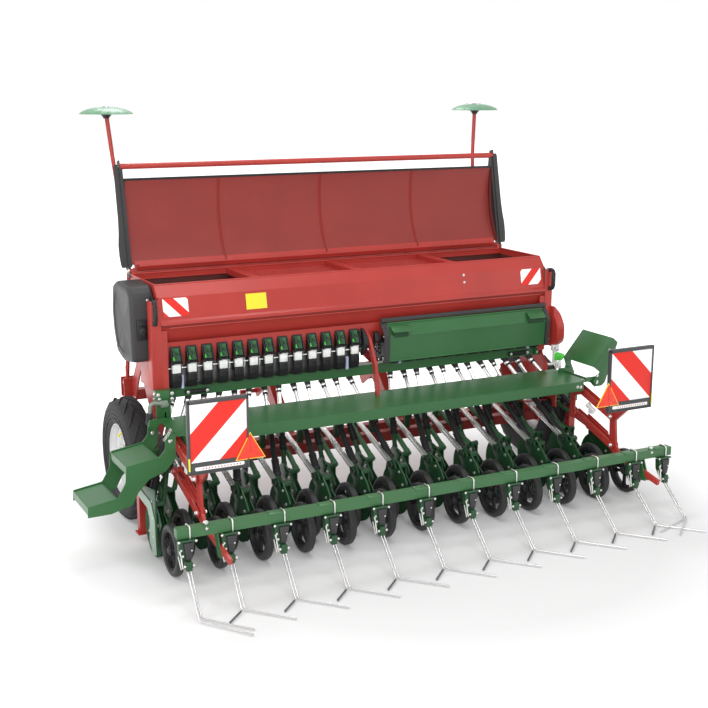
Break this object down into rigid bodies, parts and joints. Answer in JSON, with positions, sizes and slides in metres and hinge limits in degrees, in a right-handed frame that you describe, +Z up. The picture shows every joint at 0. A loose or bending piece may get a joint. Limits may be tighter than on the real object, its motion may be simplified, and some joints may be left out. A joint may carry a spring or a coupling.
{
  "type": "seed drill",
  "caption": "Mounted mechanical seed drill with sheet hopper and hinged lid, disc coulters, press wheels, ground-drive wheels, folding row markers, steps and a lifting spring-tine harrow.",
  "frame": {"origin": "on the ground, on the machine's centre line, under the axle of the rear row of press wheels", "axes": "+X to the machine's right and along the working width, +Y forward in the direction of travel, +Z up"},
  "size_m": [3.34, 2.5286, 2.311],
  "materials": {
    "red_paint": "satin",
    "dark_red_paint": "satin",
    "green_paint": "satin",
    "dark_green_paint": "satin",
    "dark_grey_paint": "satin",
    "silver_paint": "satin",
    "bright_steel": "bright",
    "lattice_steel": "galvanised",
    "spring_steel": "oiled",
    "pale_green_paint": "satin",
    "warning_white": "retroreflective",
    "yellow_film": "gloss",
    "clear_plastic": "gloss",
    "lime_plastic": "gloss",
    "black_plastic": "matte",
    "grey_plastic": "matte",
    "black_grip": "matte",
    "hose_rubber": "matte",
    "press_rubber": "matte",
    "tyre_rubber": "matte",
    "warning_red": "retroreflective",
    "reflector_red": "gloss"
  },
  "bodies": {
    "frame": {"seed_hopper": "red_paint", "hopper_braces": "red_paint", "hopper_sieves": "red_paint", "hopper_grips": "black_grip", "side_covers": "grey_plastic", "lid_hinges": "red_paint", "metering_housings": "black_plastic", "metering_drive": "bright_steel", "outlet_rail": "green_paint", "cover_frame": "dark_grey_paint", "centre_stay": "red_paint", "side_plates": "red_paint", "cross_beams": "dark_red_paint", "headstock": "red_paint", "hopper_stays": "red_paint", "platform": "green_paint", "leg_sleeves": "green_paint", "marker_brackets": "red_paint", "outlet_sockets": "black_plastic", "seed_tubes": "bright_steel", "seed_hoses": "hose_rubber", "drag_arms_rear": "bright_steel", "drag_arms_front": "dark_green_paint", "arm_brackets": "dark_green_paint", "coulter_bodies": "dark_green_paint", "coulter_discs": "dark_green_paint"},
    "lid": {"lid_panel": "red_paint", "lid_side_plates": "dark_grey_paint", "lid_grab_pipe": "red_paint"},
    "meter_cover": {"metering_cover": "green_paint"},
    "step_l": {"step_left": "green_paint"},
    "step_r": {"step_right": "green_paint"},
    "leg_l": {"parking_leg_left": "red_paint"},
    "leg_r": {"parking_leg_right": "red_paint"},
    "wheel_l": {"tyre_left": "tyre_rubber", "rim_left": "silver_paint"},
    "wheel_r": {"tyre_right": "tyre_rubber", "rim_right": "silver_paint"},
    "marker_l": {"marker_arm_left": "red_paint"},
    "marker_r": {"marker_arm_right": "red_paint"},
    "marker_wheel_l": {"marker_disc_left": "pale_green_paint"},
    "marker_wheel_r": {"marker_disc_right": "pale_green_paint"},
    "press_rear": {"press_wheels_rear": "press_rubber"},
    "press_front": {"press_wheels_front": "press_rubber"},
    "harrow_lower": {"harrow_lower_arms": "red_paint"},
    "harrow_upper": {"harrow_upper_arms": "red_paint"},
    "harrow": {"harrow_posts": "red_paint", "harrow_beam": "green_paint", "beam_hangers": "green_paint", "tine_holders": "dark_grey_paint", "harrow_tines": "bright_steel", "warning_boards": "warning_white", "board_triangles": "reflector_red"}
  },
  "joints": [
    {"name": "lid_hinge", "type": "hinge", "parent": "frame", "child": "lid", "pos_m": [0, 1.168, 1.386], "axis": [1, 0, 0], "range_deg": [0, 101.5]},
    {"name": "meter_cover_hinge", "type": "hinge", "parent": "frame", "child": "meter_cover", "pos_m": [0.675, 0.628, 1.052], "axis": [1, 0, 0], "range_deg": [-90, 0]},
    {"name": "step_left_fold", "type": "hinge", "parent": "frame", "child": "step_l", "pos_m": [-1.361, 0.368, 0.644], "axis": [0, 1, 0], "range_deg": [0, 100]},
    {"name": "step_right_fold", "type": "hinge", "parent": "frame", "child": "step_r", "pos_m": [1.361, 0.368, 0.644], "axis": [0, 1, 0], "range_deg": [0, 49.4]},
    {"name": "parking_leg_left_slide", "type": "slide", "parent": "frame", "child": "leg_l", "axis": [0, 0, -1], "range_m": [0, 0.035]},
    {"name": "drive_wheel_left", "type": "hinge", "parent": "frame", "child": "wheel_l", "pos_m": [-1.38, 0.935, 0.352], "axis": [1, 0, 0], "continuous": true},
    {"name": "marker_left_swing", "type": "hinge", "parent": "frame", "child": "marker_l", "pos_m": [-1.266, 1.309, 0.7], "axis": [0, 1, 0], "range_deg": [-90, 0]},
    {"name": "marker_left_disc", "type": "hinge", "parent": "marker_l", "child": "marker_wheel_l", "pos_m": [-1.266, 1.519, 2.297], "axis": [0, 0, 1], "continuous": true},
    {"name": "parking_leg_right_slide", "type": "slide", "parent": "frame", "child": "leg_r", "axis": [0, 0, -1], "range_m": [0, 0.035]},
    {"name": "drive_wheel_right", "type": "hinge", "parent": "frame", "child": "wheel_r", "pos_m": [1.38, 0.935, 0.352], "axis": [1, 0, 0], "continuous": true},
    {"name": "marker_right_swing", "type": "hinge", "parent": "frame", "child": "marker_r", "pos_m": [1.266, 1.309, 0.7], "axis": [0, 1, 0], "range_deg": [0, 90]},
    {"name": "marker_right_disc", "type": "hinge", "parent": "marker_r", "child": "marker_wheel_r", "pos_m": [1.266, 1.519, 2.297], "axis": [0, 0, 1], "continuous": true},
    {"name": "press_wheels_rear_turn", "type": "hinge", "parent": "frame", "child": "press_rear", "pos_m": [0, 0, 0.135], "axis": [1, 0, 0], "continuous": true},
    {"name": "press_wheels_front_turn", "type": "hinge", "parent": "frame", "child": "press_front", "pos_m": [0, 0.185, 0.135], "axis": [1, 0, 0], "continuous": true},
    {"name": "harrow_lift", "type": "hinge", "parent": "frame", "child": "harrow_lower", "pos_m": [-1.303, 0.316, 0.441], "axis": [1, 0, 0], "range_deg": [-20, 0]},
    {"name": "harrow_level", "type": "hinge", "parent": "harrow_lower", "child": "harrow", "pos_m": [-1.303, -0.043, 0.327], "axis": [1, 0, 0], "range_deg": [0, 20]},
    {"name": "harrow_upper_swing", "type": "hinge", "parent": "frame", "child": "harrow_upper", "pos_m": [-1.303, 0.329, 0.615], "axis": [1, 0, 0], "range_deg": [-20, 0]}
  ],
  "couplings": [
    {"joint": "harrow_level", "follows": "harrow_lift", "ratio": -1},
    {"joint": "harrow_upper_swing", "follows": "harrow_lift", "ratio": 1}
  ]
}
